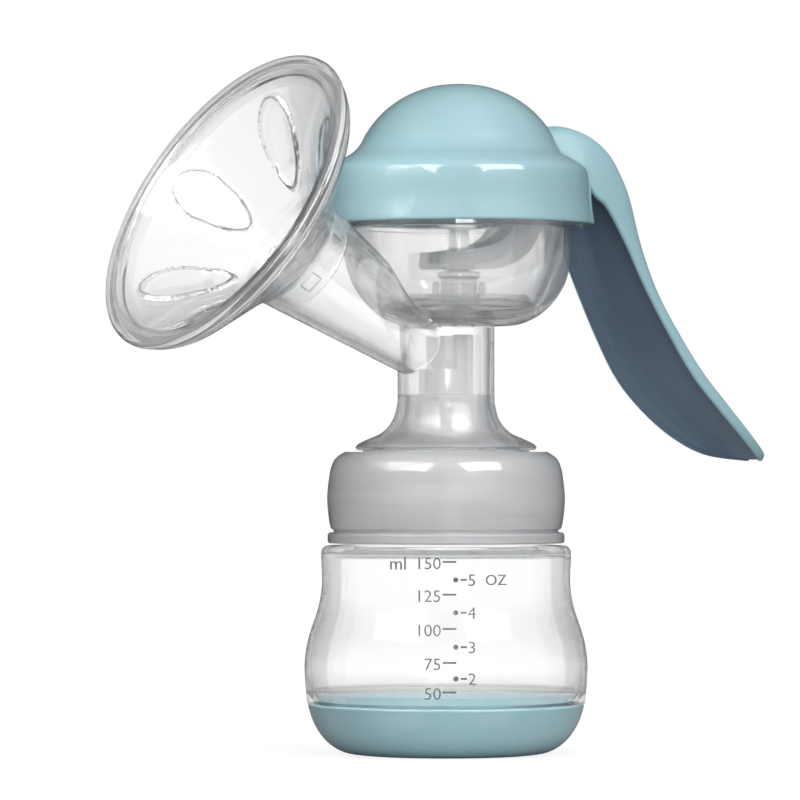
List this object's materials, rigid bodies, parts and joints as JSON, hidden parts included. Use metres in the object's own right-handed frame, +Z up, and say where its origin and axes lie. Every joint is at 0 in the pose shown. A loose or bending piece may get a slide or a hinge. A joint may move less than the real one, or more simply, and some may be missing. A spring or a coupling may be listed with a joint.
{
  "type": "manual breast pump",
  "caption": "Hand-squeezed breast pump: silicone-lined horn, domed hood with squeeze lever, clear bowl with diaphragm, screw collar and milk bottle.",
  "frame": {"origin": "where the bottle's axis meets the surface that the base stands on", "axes": "+Z up along the bottle's axis, -X towards the horn, +X towards the lever, XZ is the mirror plane"},
  "size_m": [0.1878, 0.0834, 0.1725],
  "materials": {
    "blue_plastic": "glossy",
    "clear_plastic": "polished clear",
    "frosted_plastic": "frosted translucent",
    "silicone": "soft translucent",
    "marking": "printed",
    "steel": "satin",
    "white_plastic": "satin"
  },
  "bodies": {
    "bottle_unit": {"bottle": "clear_plastic", "bottle_base": "blue_plastic", "base_seal": "silicone", "graduation_marks": "marking"},
    "pump_unit": {"pump_body": "clear_plastic", "valve_sleeve": "frosted_plastic", "duckbill_valve": "silicone", "mouth_seal": "silicone", "collar_snap_ring": "frosted_plastic", "diaphragm": "silicone", "lever_bracket": "blue_plastic", "pivot_pin": "steel", "pin_bushes": "white_plastic"},
    "collar": {"screw_collar": "frosted_plastic"},
    "lever": {"lever_handle": "blue_plastic"},
    "stem": {"pull_stem": "white_plastic", "diaphragm_plate": "frosted_plastic", "stem_retainer": "white_plastic"},
    "cushion": {"massage_cushion": "silicone"},
    "cover": {"hood": "blue_plastic"}
  },
  "joints": [
    {"name": "pump_rise", "type": "slide", "parent": "bottle_unit", "child": "pump_unit", "axis": [0, 0, 1], "range_m": [0, 0.0105]},
    {"name": "collar_turn", "type": "hinge", "parent": "pump_unit", "child": "collar", "pos_m": [0, 0, 0.06], "axis": [0, 0, 1], "range_deg": [0, 210]},
    {"name": "lever_squeeze", "type": "hinge", "parent": "pump_unit", "child": "lever", "pos_m": [0.026, 0, 0.1456], "axis": [0, 1, 0], "range_deg": [0, 25], "stiffness_Nm_per_rad": 0.6, "springref_deg": -2.86},
    {"name": "stem_lift", "type": "slide", "parent": "pump_unit", "child": "stem", "axis": [0, 0, 1], "range_m": [0, 0.0081], "deforming": ["diaphragm"]},
    {"name": "cushion_pull", "type": "slide", "parent": "pump_unit", "child": "cushion", "axis": [-0.866, 0, 0.5], "range_m": [0, 0.035]},
    {"name": "hood_lift", "type": "slide", "parent": "pump_unit", "child": "cover", "axis": [0, 0, 1], "range_m": [0, 0.035]}
  ],
  "couplings": [
    {"joint": "collar_turn", "follows": "pump_rise", "rad_per_m": 349.07},
    {"joint": "stem_lift", "follows": "lever_squeeze", "m_per_rad": 0.018335}
  ]
}
